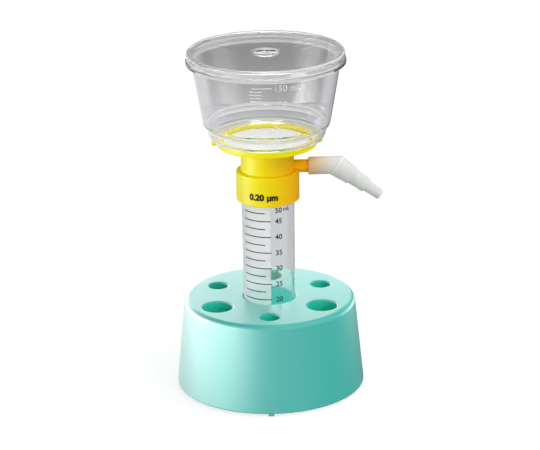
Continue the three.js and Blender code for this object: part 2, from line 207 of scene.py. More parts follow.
# ---- Lid ----
LID_RADIUS = 43.8
LID_PLATE = 1.0
LID_RIM_RISE = 0.5
LID_RIM_WIDTH = 1.8
LID_SKIRT_WALL = 0.8
LID_EDGE_FILLET = 0.8
LID_DIMPLE_RADIUS = 7.0
LID_DIMPLE_DEPTH = 1.2
LID_DIMPLE_FILLET = 0.8
LID_DIMPLE_STEPS = 10
LID_TICK_ANGLES = (-106.5, 73.5)
LID_TICK_WIDTH = 0.7
LID_TICK_RISE = 0.3
LID_TICK_LIFT = 0.2
LID_TICK_DROP = 0.6
LID_TICK_BEVEL = 0.12
LID_SKIRT_FILLET = 0.25
LID_NUB_RADIUS = 0.55
LID_NUB_HEIGHT = 0.5

# ---- Hose adapter ----
ADAPTER_RADIUS = 5.0
ADAPTER_MITRE_X = 38.5
ADAPTER_BEND = math.radians(36)
ADAPTER_SOCKET_DEPTH = 10.6
ADAPTER_SOCKET_GAP = 0.3
ADAPTER_BORE = 1.9
ADAPTER_EDGE = 0.5
ADAPTER_BEAD = 0.15
ADAPTER_BEAD_FOOT = 0.34
ADAPTER_BEAD_CREST = 0.2
ELBOW_LENGTH = 10.8
ELBOW_END_RADIUS = 5.25
BARREL_LENGTH = 9.8
BARREL_START_RADIUS = 4.5
BARREL_END_RADIUS = 4.25
TIP_LENGTH = 9.78
TIP_START_RADIUS = 3.3
TIP_END_RADIUS = 2.95
# Corners of a rounded end: shares of ADAPTER_EDGE back from the end, and in from the wall.
STEP_EDGE = ((1.0, 0.0), (0.3, 0.3), (0.0, 1.0))

# ---- Print and raised marks; a plate is its lift off the wall and its thickness ----
FIELD_PLATE = (0.025, 0.02)
PRINT_PLATE = (0.05, 0.04)
PATCH_START = math.radians(-200)
PATCH_END = math.radians(-86.5)
PATCH_BOTTOM = 26.0
PATCH_UNDER_COLLAR = 6.0
SCALE_START = math.radians(-152)
SCALE_MAJOR_END = math.radians(-84.2)
SCALE_MINOR_END = math.radians(-97.5)
SCALE_LINE = 0.55
SCALE_LOWEST = 20
SCALE_HIGHEST = 50
SCALE_STEP = 2.5
SCALE_LOWEST_HEIGHT = 54.7
SCALE_PER_ML = 1.865
NUMERAL_START = math.radians(-75.2)
NUMERAL_HEIGHT = 3.0
NUMERAL_WEIGHT = 0.015
UNIT_HEIGHT = 2.5
UNIT_ALONG = 5.0
UNIT_RISE = 0.5
COLLAR_TEXT_MIDDLE = math.radians(-98.0)
COLLAR_TEXT_BASE = 114.6
COLLAR_TEXT_HEIGHT = 3.7
COLLAR_TEXT_WEIGHT = 0.055
MARK_PLATE = (0.02, 0.45)
MARK_LINE = 0.45
MARK_NUMERAL_START = math.radians(-84.6)
MARK_MAJOR = (math.radians(-101.5), math.radians(-86.0))
MARK_MINOR = (math.radians(-103.0), math.radians(-93.0))
MARK_SCALE = (("50", 162.0, 2.9), ("100", 176.4, 3.5), ("150 mL", 185.8, 3.5))
MARK_STEPS = 5

# ---- Camera ----
CAMERA_PITCH = math.radians(19.347)
CAMERA_LEAN = math.radians(-0.915)
CAMERA_TARGET = Vector((0.908, 0.0, 94.228))
CAMERA_DISTANCE = 1418.0
CAMERA_SENSOR = 36.0
CAMERA_LENS = 167.9

# ---- Floor: half its width in mm, rings and spans in metres, the sectors' span in their wave ----
FLOOR_HALF = 4000.0
FLOOR_GLOW = (0.79, 1.0)
FLOOR_GLOW_SPAN = (0.35, 1.5)
FLOOR_SHADOW = 0.29
FLOOR_SHEEN = (1.0, 0.12)
FLOOR_SHEEN_SPAN = (-0.12, 0.08)
# Rings of painted shade that clear plastic sees on the floor: distance in metres and grey level.
FLOOR_RINGS = (
    (0.34, 0.66), (0.48, 0.55), (0.54, 0.42), (0.6, 0.34),
    (0.66, 0.17), (0.74, 0.13), (0.84, 0.3), (1.0, 0.7))
FLOOR_RING_TINT = (1.0, 1.01, 1.03)
FLOOR_SECTORS = 8.0
FLOOR_SECTOR_SPAN = (0.7, 0.1)
FLOOR_SECTOR_TONE = (0.565, 0.56, 0.595, 1.0)

# ---- Lamps: metres and watts, and the glow's depth in mm ----
AIM_NEAR = 0.06
AIM_FAR = 0.11
WELL_GLOW_POWER = 0.008
WELL_GLOW_SIZE = 0.006
WELL_GLOW_DEPTH = 16.0

# ---- Heights and radii that follow ----
TUBE_CONE_TOP = TUBE_TIP + TUBE_CONE_HEIGHT
THREAD_BOTTOM = TUBE_RIM - THREAD_BELOW_RIM - THREAD_TURNS * THREAD_PITCH
COLLAR_TOP = COLLAR_BOTTOM + COLLAR_HEIGHT
ROOF_UNDERSIDE = COLLAR_TOP - COLLAR_ROOF
DISH_UNDERSIDE = COLLAR_TOP + NECK_HEIGHT
DISH_TOP = DISH_UNDERSIDE + DISH_FLOOR
FLANGE_BOTTOM = DISH_UNDERSIDE + FLANGE_RISE
LUG_BOTTOM = FLANGE_BOTTOM + LUG_RISE
PORT_HEIGHT = COLLAR_TOP + PORT_RISE
BOWL_FLOOR_BOTTOM = RING_TOP + SEAT_GAP
BOWL_FLOOR_TOP = BOWL_FLOOR_BOTTOM + BOWL_FLOOR
BOWL_STEP_BOTTOM = SKIRT_BOTTOM + BOWL_STEP_HEIGHT
BOWL_SHOULDER_TOP = BOWL_STEP_BOTTOM + BOWL_SHOULDER_RISE
LIP_BOTTOM = BOWL_RIM - LIP_DROP
LIP_TOP = LIP_BOTTOM + LIP_THICKNESS
LID_UNDERSIDE = BOWL_RIM + SEAT_GAP
LID_PLATE_TOP = LID_TOP - LID_RIM_RISE
COLLAR_BORE = TUBE_RIM_RADIUS + THREAD_HEIGHT + THREAD_GAP
BOWL_WALL_START = BOWL_STEP_RADIUS + BOWL_SHOULDER_OUT
PAINTED_WELL = (CENTRE_WELL_FLOOR - PAINT_MARGIN, STAND_TOP - WELL_LIP)
RIM_STUB_RADIUS = LID_RADIUS - LID_SKIRT_WALL - SEAT_GAP


def tube_radius(height):
    return TUBE_RIM_RADIUS - (TUBE_RIM - height) * math.tan(TUBE_TAPER)


def bowl_radius(height):
    return BOWL_WALL_START + (height - BOWL_SHOULDER_TOP) * math.tan(BOWL_TAPER)


CENTRE_WELL_RADIUS = tube_radius(STAND_TOP) + TUBE_SIDE_GAP
SIDE_WELLS = [
    (kind["radius"], kind["depth"], degrees)
    for kind in (LARGE_WELL, SMALL_WELL) for degrees in kind["angles"]]

# ---- Mesh helpers ----


def placed(name, data):
    """Object for a mesh, a lamp or a camera, linked into the scene."""
    obj = bpy.data.objects.new(name, data)
    bpy.context.scene.collection.objects.link(obj)
    return obj


def cleaned(mesh):
    """Joins the vertices that coincide and turns the faces outward."""
    work = bmesh.new()
    work.from_mesh(mesh)
    bmesh.ops.remove_doubles(work, verts=work.verts, dist=SAME_PLACE)
    bmesh.ops.recalc_face_normals(work, faces=work.faces)
    work.to_mesh(mesh)
    work.free()
    return mesh


def new_object(name, vertices, faces):
    """Mesh object from millimetre vertices, with its faces turned outward."""
    mesh = bpy.data.meshes.new(name)
    mesh.from_pydata([Vector(vertex) * MM for vertex in vertices], [], faces)
    return placed(name, cleaned(mesh))


def outline(corners):
    """Corners are (radius, height[, fillet]); a fillet becomes an arc limited by its edges."""
    count = len(corners)
    points = []
    for index, corner in enumerate(corners):
        here = Vector(corner[:2])
        fillet = corner[2] if len(corner) > 2 else 0.0
        if fillet == 0.0:
            points.append(here)
            continue
        before = Vector(corners[index - 1][:2]) - here
        after = Vector(corners[(index + 1) % count][:2]) - here
        half = before.angle(after) / 2.0
        reach = min(fillet / math.tan(half), FILLET_SHARE * min(before.length, after.length))
        radius = reach * math.tan(half)
        before.normalize()
        after.normalize()
        centre = here + (before + after).normalized() * (radius / math.sin(half))
        start = here + before * reach - centre
        end = here + after * reach - centre
        sweep = math.atan2(start.x * end.y - start.y * end.x, start.dot(end))
        for step in range(FILLET_STEPS + 1):
            points.append(centre + Matrix.Rotation(sweep * step / FILLET_STEPS, 2) @ start)
    return points


def revolved(name, corners, segments=BODY_SEGMENTS):
    """Solid of revolution about +Z. A ring's outline closes on itself; any other ends on the axis."""
    points = outline(corners)
    is_ring = min(point.x for point in points) > ON_AXIS
    vertices, rows = [], []
    for point in points:
        if point.x <= ON_AXIS:
            rows.append([len(vertices)] * segments)
            vertices.append((0.0, 0.0, point.y))
            continue
        rows.append(list(range(len(vertices), len(vertices) + segments)))
        for step in range(segments):
            angle = TURN * step / segments
            vertices.append((point.x * math.cos(angle), point.x * math.sin(angle), point.y))
    if is_ring:
        rows.append(rows[0])
    faces = []
    for lower, upper in zip(rows, rows[1:]):
        for step in range(segments):
            following = (step + 1) % segments
            corners_of_face = [lower[step], lower[following], upper[following], upper[step]]
            face = list(dict.fromkeys(corners_of_face))
            if len(face) > 2:
                faces.append(face)
    return new_object(name, vertices, faces)


def rod(radius, bottom, top, edge=0.0):
    """Corners of a solid cylinder, with a fillet at its top."""
    return [(0.0, bottom), (radius, bottom), (radius, top, edge), (0.0, top)]


def skin(name, rings):
    """Skin through rings that hold the same number of points, closed by a flat cap at each end."""
    size = len(rings[0])
    vertices = [point for ring in rings for point in ring]
    faces = [tuple(range(size)), tuple(range(len(vertices) - size, len(vertices)))]
    for ring in range(len(rings) - 1):
        for step in range(size):
            a = ring * size + step
            b = ring * size + (step + 1) % size
            faces.append((a, b, b + size, a + size))
    return new_object(name, vertices, faces)


def peg(name, radii, width, heights, bevel, degrees):
    """Box with rounded edges that points outward from the axis, at that bearing."""
    obj = new_object(name, [], [])
    work = bmesh.new()
    bmesh.ops.create_cube(work, size=1.0)
    low = (radii[0], -width / 2.0, heights[0])
    high = (radii[1], width / 2.0, heights[1])
    middle = (Vector(low) + Vector(high)) / 2.0
    for vertex in work.verts:
        for axis in range(3):
            vertex.co[axis] = (middle[axis] + vertex.co[axis] * (high[axis] - low[axis])) * MM
    bmesh.ops.bevel(work, geom=work.edges[:], offset=bevel * MM, segments=3, affect="EDGES", profile=0.5)
    work.to_mesh(obj.data)
    work.free()
    return moved(obj, Matrix.Rotation(math.radians(degrees), 4, "Z"))


def evaluated_mesh(obj):
    """New mesh of what the object shows, with its modifiers or its text worked out."""
    bpy.context.view_layer.update()
    shown = obj.evaluated_get(bpy.context.evaluated_depsgraph_get())
    return bpy.data.meshes.new_from_object(shown)


def moved(obj, matrix):
    obj.data.transform(matrix)
    return obj


def around(obj, radius, degrees):
    angle = math.radians(degrees)
    place = Vector((radius * math.cos(angle), radius * math.sin(angle), 0.0)) * MM
    return moved(obj, Matrix.Translation(place))


def combined(target, tools, operation):
    """The target after it is joined to, or cut by, each tool; the tools are used up."""
    for tool in tools:
        change = target.modifiers.new("solid", "BOOLEAN")
        change.operation = operation
        change.solver = "MANIFOLD"
        change.object = tool
    mesh = evaluated_mesh(target)
    target.modifiers.clear()
    target.data = mesh
    for tool in tools:
        bpy.data.objects.remove(tool)
    return target


def dressed(obj, material, body, nodes=()):
    """The finished piece: its material, the body that carries it and the CAD nodes it stands for.

    It is shaded smooth with its sharp edges kept, and flat faces stay flat.
    """
    obj.data.shade_smooth()
    obj.data.set_sharp_from_angle(angle=SHARP_ANGLE)
    weighted = obj.modifiers.new("weighted_normals", "WEIGHTED_NORMAL")
    weighted.keep_sharp = True
    obj.data.materials.clear()
    obj.data.materials.append(material)
    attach(obj, body)
    if nodes:
        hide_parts(*nodes)
    return obj


def painted(obj, material, chosen):
    """Gives a further material to the faces whose centre, in mm, is chosen."""
    obj.data.materials.append(material)
    slot = len(obj.data.materials) - 1
    for face in obj.data.polygons:
        if chosen(face.center / MM):
            face.material_index = slot
    return obj


def in_bands(*bands):
    """Chooses by distance from the axis and by height; a band is (radii, heights)."""
    def chosen(place):
        reach = math.hypot(place.x, place.y)
        return any(near < reach < far and low < place.z < high for (near, far), (low, high) in bands)
    return chosen


def on_wall(radius_at, angle, height, lift):
    radius = radius_at(height) + lift
    return (radius * math.cos(angle), radius * math.sin(angle), height)


def wall_patch(name, radius_at, angles, heights, plate):
    """Thin curved plate on a round wall, between two angles and two heights."""
    start, end = angles
    lift, thickness = plate
    columns = max(2, int(abs(end - start) / math.radians(2)) + 1)
    rings = []
    for column in range(columns + 1):
        angle = start + (end - start) * column / columns
        ring = [on_wall(radius_at, angle, height, lift + thickness) for height in heights]
        ring += [on_wall(radius_at, angle, height, lift) for height in reversed(heights)]
        rings.append(ring)
    return skin(name, rings)


def wall_line(radius_at, angles, middle, width, plate):
    """Level line on a round wall, with its middle at that height."""
    heights = (middle - width / 2.0, middle + width / 2.0)
    return wall_patch("line", radius_at, angles, heights, plate)


def lettering(name, text, height, radius_at, angle, base, plate, weight=0.0, align="LEFT"):
    """Text in the built-in font, wrapped on a round wall and read from outside."""
    curve = bpy.data.curves.new(name, "FONT")
    curve.body = text
    curve.size = 1.0
    curve.offset = weight
    curve.align_x = align
    curve.extrude = 0.5
    curve.resolution_u = 4
    flat = placed(name, curve)
    mesh = evaluated_mesh(flat)
    bpy.data.objects.remove(flat)
    lift, thickness = plate
    radius = radius_at(base)
    scale = height / max(vertex.co.y for vertex in mesh.vertices)
    for vertex in mesh.vertices:
        across, up, out = vertex.co
        bearing = angle + across * scale / radius
        place = on_wall(radius_at, bearing, base + up * scale, lift + thickness * (0.5 + out))
        vertex.co = Vector(place) * MM
    return placed(name, cleaned(mesh))


def merged(name, objects):
    """One mesh from several that don't touch."""
    work = bmesh.new()
    for obj in objects:
        work.from_mesh(obj.data)
        bpy.data.objects.remove(obj)
    mesh = bpy.data.meshes.new(name)
    work.to_mesh(mesh)
    work.free()
    return placed(name, mesh)


# ---- Shader nodes ----


def feed(tree, socket, value):
    """Links a socket to another node's output, or sets it to a plain value."""
    if isinstance(value, bpy.types.NodeSocket):
        tree.links.new(value, socket)
    else:
        socket.default_value = value


def add_node(tree, kind, settings=None, **inputs):
    """New node with its settings; each input is a plain value or another node's output."""
    node = tree.nodes.new("ShaderNode" + kind)
    for setting, value in (settings or {}).items():
        setattr(node, setting, value)
    for name, value in inputs.items():
        feed(tree, node.inputs[name.replace("_", " ")], value)
    return node


def calculated(tree, operation, first, second=0.5):
    """Result of a maths node; its second number is a half where none is given."""
    node = add_node(tree, "Math", {"operation": operation})
    feed(tree, node.inputs[0], first)
    feed(tree, node.inputs[1], second)
    return node.outputs["Value"]


def smooth_step(tree, value, span, levels=(0.0, 1.0)):
    """Goes smoothly from the first level to the second while the value crosses the span."""
    node = add_node(
        tree, "MapRange", {"interpolation_type": "SMOOTHSTEP"}, Value=value,
        From_Min=span[0], From_Max=span[1], To_Min=levels[0], To_Max=levels[1])
    return node.outputs["Result"]


def mixed_colour(tree, factor, first, second):
    mix = add_node(tree, "Mix", {"data_type": "RGBA"}, Factor=factor, A=first, B=second)
    return mix.outputs["Result"]


def mixed_shader(tree, factor, first, second):
    mix = add_node(tree, "MixShader", Fac=factor)
    feed(tree, mix.inputs[1], first)
    feed(tree, mix.inputs[2], second)
    return mix.outputs["Shader"]


def split_by_ray(tree, plain, mirrored, to_viewer, through_clear):
    """One look for plain rays, one in mirrors, one to the viewer and one through clear plastic.

    The last takes rays that pass clear plastic with no rough bounce on their way.
    """
    path = add_node(tree, "LightPath").outputs
    no_bounce = calculated(tree, "LESS_THAN", path["Diffuse Depth"])
    seen_through = calculated(tree, "MULTIPLY", no_bounce, path["Is Transmission Ray"])
    look = mixed_shader(tree, path["Is Glossy Ray"], plain, mirrored)
    look = mixed_shader(tree, path["Is Camera Ray"], look, to_viewer)
    return mixed_shader(tree, seen_through, look, through_clear)


# ---- Materials ----


def srgb(red, green, blue):
    """Linear colour of a display colour given from 0 to 255."""
    def linear(value):
        share = value / 255.0
        return share / 12.92 if share <= 0.04045 else ((share + 0.055) / 1.055) ** 2.4
    return (linear(red), linear(green), linear(blue), 1.0)


def shader_of(material):
    return material.node_tree.nodes["Principled BSDF"]


def principled(name, colour, **sockets):
    material = bpy.data.materials.new(name)
    material.use_nodes = True
    shader = shader_of(material)
    shader.inputs["Base Color"].default_value = colour
    for socket, value in sockets.items():
        shader.inputs[socket.replace("_", " ")].default_value = value
    return material


def add_bump(material, scale, strength, distance, detail=2.0):
    """Fine uneven surface from noise in object space."""
    tree = material.node_tree
    place = add_node(tree, "TexCoord").outputs["Object"]
    noise = add_node(tree, "TexNoise", Vector=place, Scale=scale, Detail=detail)
    bump = add_node(
        tree, "Bump", Strength=strength, Distance=distance, Height=noise.outputs["Fac"])
    feed(tree, shader_of(material).inputs["Normal"], bump.outputs["Normal"])


def vary(material, noise_scale, roughness, colours=None):
    """Slow drift of the roughness within a range, and between two near colours where given."""
    tree, shader = material.node_tree, shader_of(material)
    place = add_node(tree, "TexCoord").outputs["Object"]
    noise = add_node(tree, "TexNoise", Vector=place, Scale=noise_scale, Detail=3.0).outputs["Fac"]
    drift = add_node(tree, "MapRange", Value=noise, To_Min=roughness[0], To_Max=roughness[1])
    feed(tree, shader.inputs["Roughness"], drift.outputs["Result"])
    if colours:
        feed(tree, shader.inputs["Base Color"], mixed_colour(tree, noise, *colours))


def blend_along_x(material, span, first, second, top=None):
    """Colour that turns from first to second along X; above the top it is first all round."""
    tree = material.node_tree
    place = add_node(tree, "TexCoord").outputs["Object"]
    split = add_node(tree, "SeparateXYZ", Vector=place).outputs
    share = smooth_step(tree, split["X"], (span[0] * MM, span[1] * MM))
    if top:
        share = calculated(tree, "MULTIPLY", share, calculated(tree, "LESS_THAN", split["Z"], top * MM))
    feed(tree, shader_of(material).inputs["Base Color"], mixed_colour(tree, share, first, second))


def clear_plastic(name, tint, roughness, ior, transmission=1.0):
    """Clear plastic that lets lamps through."""
    material = principled(
        name, tint, Roughness=roughness, IOR=ior, Transmission_Weight=transmission)
    tree = material.node_tree
    passing = add_node(tree, "BsdfTransparent", Color=(0.97, 0.97, 0.97, 1.0))
    shadow_ray = add_node(tree, "LightPath").outputs["Is Shadow Ray"]
    look = mixed_shader(
        tree, shadow_ray, shader_of(material).outputs["BSDF"], passing.outputs["BSDF"])
    feed(tree, tree.nodes["Material Output"].inputs["Surface"], look)
    return material


def stand_looks():
    """Teal of the stand's outside, and a lighter teal of painted glow in its six side wells and in the
    lamp-lit middle well, for light that the translucent walls let in.
    """
    stand = principled(
        "stand_plastic", srgb(40, 193, 181), Roughness=0.45, IOR=1.5, Specular_IOR_Level=1.0,
        Coat_Weight=1.0, Coat_Roughness=0.45, Coat_IOR=1.9)
    # Painted glow: the wells and the middle well are lighter copies of the stand's teal.
    well = principled("well_plastic_painted_glow", srgb(44, 222, 194), Roughness=0.45, IOR=1.5)
    cup = principled("cup_plastic_painted_glow", srgb(52, 240, 220), Roughness=0.45, IOR=1.5)
    for material, colours in (
            (stand, (srgb(38, 191, 179), srgb(43, 195, 184))),
            (well, (srgb(42, 220, 192), srgb(46, 224, 196))),
            (cup, (srgb(50, 238, 218), srgb(54, 242, 222)))):
        vary(material, 9.0, (0.43, 0.49), colours)
    add_bump(stand, 2600.0, 0.05, 0.0002)
    return {"stand": stand, "well": well, "cup": cup}


def clear_looks():
    """Clear pieces, the hazy cream edges of painted highlight and the yellow-tinted ring painted on them.
    """
    polished = (0.985, 0.985, 0.985, 1.0)
    return {
        "tube": clear_plastic("tube_clear", (0.985, 0.99, 0.995, 1.0), 0.06, 1.5, 0.97),
        "bowl": clear_plastic("bowl_clear", polished, 0.02, 1.55),
        "lid": clear_plastic("lid_clear", polished, 0.02, 1.55),
        "mark": clear_plastic("raised_mark", (0.97, 0.97, 0.97, 1.0), 0.25, 1.55, 0.7),
        # Rim edges: hazy cream plastic as a painted highlight.
        "rim": clear_plastic("rim_painted_highlight", (1.0, 0.985, 0.94, 1.0), 0.15, 1.55, 0.35),
        "weld": clear_plastic("weld_clear", (1.0, 0.96, 0.55, 1.0), 0.03, 1.55),
    }


def base_look():
    """Yellow with painted shade: lemon on the lit left turns to orange on the shaded right, up to the
    dish.
    """
    yellow = principled(
        "base_plastic", srgb(240, 202, 0), Roughness=0.4, IOR=1.5, Specular_IOR_Level=0.25,
        Subsurface_Weight=0.3, Subsurface_Radius=(1.0, 0.6, 0.1), Subsurface_Scale=0.001)
    vary(yellow, 30.0, (0.36, 0.44))
    # Painted shade: the colour turns orange towards the shaded right.
    blend_along_x(
        yellow, BASE_SHADE_BLEND, srgb(246, 234, 0), srgb(240, 166, 0), DISH_UNDERSIDE - NECK_FILLET)
    add_bump(yellow, 1400.0, 0.04, 0.0002)
    return yellow


def adapter_looks():
    """Milky plastic with a painted warm glow beside the port, where the yellow port would show through,
    and the paler bead at its bend.
    """
    milky = {"Subsurface_Weight": 0.5, "Subsurface_Radius": (1.0, 1.0, 1.0), "Subsurface_Scale": 0.002}
    adapter = principled(
        "adapter_plastic", srgb(238, 238, 236), Roughness=0.42, IOR=1.49, Transmission_Weight=0.15,
        **milky)
    # Painted glow: warm near the port, for the yellow port showing through.
    blend_along_x(
        adapter, (ADAPTER_START, ADAPTER_MITRE_X), srgb(236, 197, 148), srgb(235, 236, 233))
    add_bump(adapter, 1100.0, 0.05, 0.0002)
    bead = principled("adapter_bead", srgb(252, 251, 246), Roughness=0.35, IOR=1.49, **milky)
    return {"adapter": adapter, "bead": bead}


def make_materials():
    looks = {
        **stand_looks(),
        "base": base_look(),
        **clear_looks(),
        "seal": principled("seal", srgb(232, 232, 226), Roughness=0.55, IOR=1.42),
        "support": principled("support_web", srgb(238, 238, 236), Roughness=0.9),
        "membrane": principled("membrane", srgb(245, 246, 246), Roughness=0.85),
        **adapter_looks(),
        "patch": principled("print_white", srgb(250, 250, 250), Roughness=0.6, Alpha=0.44),
        "ink": principled("print_grey", srgb(30, 33, 36), Roughness=0.5),
        "black": principled("print_black", srgb(18, 18, 18), Roughness=0.45),
    }
    add_bump(looks["seal"], 900.0, 0.05, 0.0002)
    add_bump(looks["support"], 2200.0, 0.5, 0.0003, 4.0)
    add_bump(looks["membrane"], 5200.0, 0.25, 0.0001, 4.0)
    return looks


# ---- Stand ----


def well_lip(radius):
    """Rounded lip where a well opens through the deck."""
    lip = []
    for step in range(FILLET_STEPS + 1):
        angle = math.pi / 2.0 * step / FILLET_STEPS
        out = radius + WELL_LIP * (1.0 - math.cos(angle))
        lip.append((out, STAND_TOP - WELL_LIP * (1.0 - math.sin(angle))))
    return lip


def well(radius, cup_bottom, hole_bottom, segments):
    """Cup under the deck and the cutter that hollows it; each bottom is its corners from the axis."""
    middle = STAND_TOP - STAND_DECK / 2.0
    above = STAND_TOP + STAND_DECK
    cup = revolved("cup", [*cup_bottom, (radius + WELL_WALL, middle), (0.0, middle)], segments)
    cutter = revolved("well", [
        *hole_bottom, *well_lip(radius), (radius + WELL_LIP, above), (0.0, above)], segments)
    return cup, cutter


def side_well(radius, depth, degrees):
    floor = STAND_TOP - depth
    cup_bottom = [
        (0.0, floor - WELL_WALL),
        (radius + WELL_WALL, floor - WELL_WALL, WELL_FLOOR_FILLET + WELL_WALL)]
    hole_bottom = [(0.0, floor), (radius, floor, WELL_FLOOR_FILLET)]
    pieces = well(radius, cup_bottom, hole_bottom, WELL_SEGMENTS)
    return [around(piece, WELL_PITCH_RADIUS, degrees) for piece in pieces]


def centre_well():
    """Well that follows the tube's cone down, and stands on a foot of its own."""
    tip = TUBE_TIP_RADIUS + SEAT_GAP
    underside = CENTRE_WELL_FLOOR - WELL_WALL
    return well(CENTRE_WELL_RADIUS, [
        (0.0, 0.0),
        (CENTRE_FOOT_RADIUS, 0.0, FOOT_BEVEL),
        (CENTRE_FOOT_RADIUS, underside),
        (tip + WELL_WALL * 2.0, underside, WELL_WALL),
        (CENTRE_WELL_RADIUS + WELL_WALL, TUBE_CONE_TOP - WELL_WALL / 2.0, WELL_FLOOR_FILLET),
    ], [
        (0.0, CENTRE_WELL_FLOOR),
        (tip, CENTRE_WELL_FLOOR),
        (CENTRE_WELL_RADIUS, TUBE_CONE_TOP),
    ], TUBE_SEGMENTS)


def stand_foot(degrees):
    outer = STAND_BASE_RADIUS - SEAT_GAP
    top = FOOT_HEIGHT + STAND_WALL / 2.0
    return peg("foot", (outer - FOOT_DEPTH, outer), FOOT_WIDTH, (0.0, top), FOOT_BEVEL, degrees)


def in_side_wells(place):
    """Chooses what lies inside one of the six wells around the middle one."""
    for radius, depth, degrees in SIDE_WELLS:
        angle = math.radians(degrees)
        away_x = place.x - WELL_PITCH_RADIUS * math.cos(angle)
        away_y = place.y - WELL_PITCH_RADIUS * math.sin(angle)
        if math.hypot(away_x, away_y) < radius + PAINT_MARGIN:
            return PAINTED_WELL[0] < place.z < PAINTED_WELL[1]
    return False


def make_stand(looks):
    slope = math.tan(STAND_TAPER)
    shoulder = STAND_BASE_RADIUS - (STAND_TOP - FOOT_HEIGHT) * slope
    under_deck = STAND_TOP - STAND_DECK
    shell = revolved("stand_shell", [
        (0.0, STAND_TOP),
        (shoulder, STAND_TOP, STAND_SHOULDER_FILLET),
        (STAND_BASE_RADIUS, FOOT_HEIGHT, STAND_RIM_FILLET),
        (STAND_BASE_RADIUS - STAND_WALL, FOOT_HEIGHT, STAND_RIM_FILLET / 2.0),
        (shoulder - STAND_WALL + STAND_DECK * slope, under_deck, STAND_INNER_FILLET),
        (0.0, under_deck),
    ])
    wells = [centre_well(), *(side_well(*place) for place in SIDE_WELLS)]
    feet = [stand_foot(degrees) for degrees in SMALL_WELL["angles"]]
    body = combined(shell, [cup for cup, cutter in wells] + feet, "UNION")
    body = combined(body, [cutter for cup, cutter in wells], "DIFFERENCE")
    dressed(body, looks["stand"], "stand_and_tube", ["stand"])
    # The wells and the middle well get the lighter teal of painted glow.
    painted(body, looks["well"], in_side_wells)
    return painted(body, looks["cup"], in_bands(((0.0, CENTRE_WELL_RADIUS + PAINT_MARGIN), PAINTED_WELL)))


# ---- Tube ----


def thread_ridge(name, root_radius, crest_radius, start_height):
    """Helical ridge with a tapered section that grows out of the wall at both ends."""
    rings = []
    steps = round(THREAD_TURNS * THREAD_STEPS)
    for step in range(steps + 1):
        turn = step / THREAD_STEPS
        angle = turn * TURN
        height = start_height + turn * THREAD_PITCH
        ends = min(1.0, min(step, steps - step) / (THREAD_RUN_IN * THREAD_STEPS))
        grown = THREAD_END_SHARE + (1.0 - THREAD_END_SHARE) * ends
        crest = root_radius + (crest_radius - root_radius) * grown
        section = [
            (root_radius, -THREAD_ROOT_WIDTH / 2.0),
            (crest, -THREAD_CREST_WIDTH / 2.0),
            (crest, THREAD_CREST_WIDTH / 2.0),
            (root_radius, THREAD_ROOT_WIDTH / 2.0),
        ]
        rings.append([
            (radius * math.cos(angle), radius * math.sin(angle), height + offset)
            for radius, offset in section])
    return skin(name, rings)


def make_tube(looks):
    cone_radius = tube_radius(TUBE_CONE_TOP)
    floor = TUBE_TIP + TUBE_TIP_WALL
    body = revolved("tube_body", [
        (0.0, TUBE_TIP),
        (TUBE_TIP_RADIUS, TUBE_TIP, TUBE_TIP_FILLET),
        (cone_radius, TUBE_CONE_TOP, TUBE_SHOULDER_FILLET),
        (TUBE_RIM_RADIUS, TUBE_RIM, TUBE_RIM_FILLET),
        (TUBE_RIM_RADIUS - TUBE_WALL, TUBE_RIM, TUBE_RIM_FILLET),
        (cone_radius - TUBE_WALL, TUBE_CONE_TOP + TUBE_WALL / 2.0, TUBE_SHOULDER_FILLET),
        (TUBE_TIP_RADIUS - TUBE_WALL / 2.0, floor, TUBE_TIP_FILLET / 2.0),
        (0.0, floor),
    ], TUBE_SEGMENTS)
    crest = TUBE_RIM_RADIUS + THREAD_HEIGHT
    ridge = thread_ridge("ridge", TUBE_RIM_RADIUS - THREAD_ROOT_DEPTH, crest, THREAD_BOTTOM)
    body = combined(body, [ridge], "UNION")
    return dressed(body, looks["tube"], "stand_and_tube", ["tube"])


def scale_height(volume):
    return SCALE_LOWEST_HEIGHT + (volume - SCALE_LOWEST) * SCALE_PER_ML


def make_tube_print(looks):
    """White writing field, graduation lines and numbers on the tube."""
    field = wall_patch(
        "tube_field", tube_radius, (PATCH_START, PATCH_END),
        (PATCH_BOTTOM, COLLAR_BOTTOM + PATCH_UNDER_COLLAR), FIELD_PLATE)
    dressed(field, looks["patch"], "stand_and_tube")
    lines, numbers = [], []
    for step in range(round(SCALE_LOWEST / SCALE_STEP), round(SCALE_HIGHEST / SCALE_STEP) + 1):
        volume = step * SCALE_STEP
        numbered = step % 2 == 0
        middle = scale_height(volume)
        angles = (SCALE_START, SCALE_MAJOR_END if numbered else SCALE_MINOR_END)
        lines.append(wall_line(tube_radius, angles, middle, SCALE_LINE, PRINT_PLATE))
        if not numbered:
            continue
        base = middle - NUMERAL_HEIGHT / 2.0
        if volume == SCALE_HIGHEST:
            base -= NUMERAL_HEIGHT
            numbers.append(lettering(
                "unit", "mL", UNIT_HEIGHT, tube_radius, NUMERAL_START + UNIT_ALONG / TUBE_RIM_RADIUS,
                base + UNIT_RISE, PRINT_PLATE, NUMERAL_WEIGHT))
        numbers.append(lettering(
            "number", str(int(volume)), NUMERAL_HEIGHT, tube_radius, NUMERAL_START, base,
            PRINT_PLATE, NUMERAL_WEIGHT))
    dressed(merged("tube_scale_lines", lines), looks["ink"], "stand_and_tube")
    dressed(merged("tube_scale_numbers", numbers), looks["ink"], "stand_and_tube")
    return field


# ---- Filter base ----


def make_gasket(looks):
    outer = COLLAR_BORE - THREAD_GAP
    ring = revolved("gasket_ring", [
        (GASKET_BORE, GASKET_BOTTOM, EDGE_FINE),
        (outer, GASKET_BOTTOM, EDGE_FINE),
        (outer, GASKET_TOP, EDGE_FINE),
        (GASKET_BORE, GASKET_TOP, EDGE_FINE),
    ], TUBE_SEGMENTS)
    dressed(ring, looks["seal"], "gasket", ["tube_gasket"])


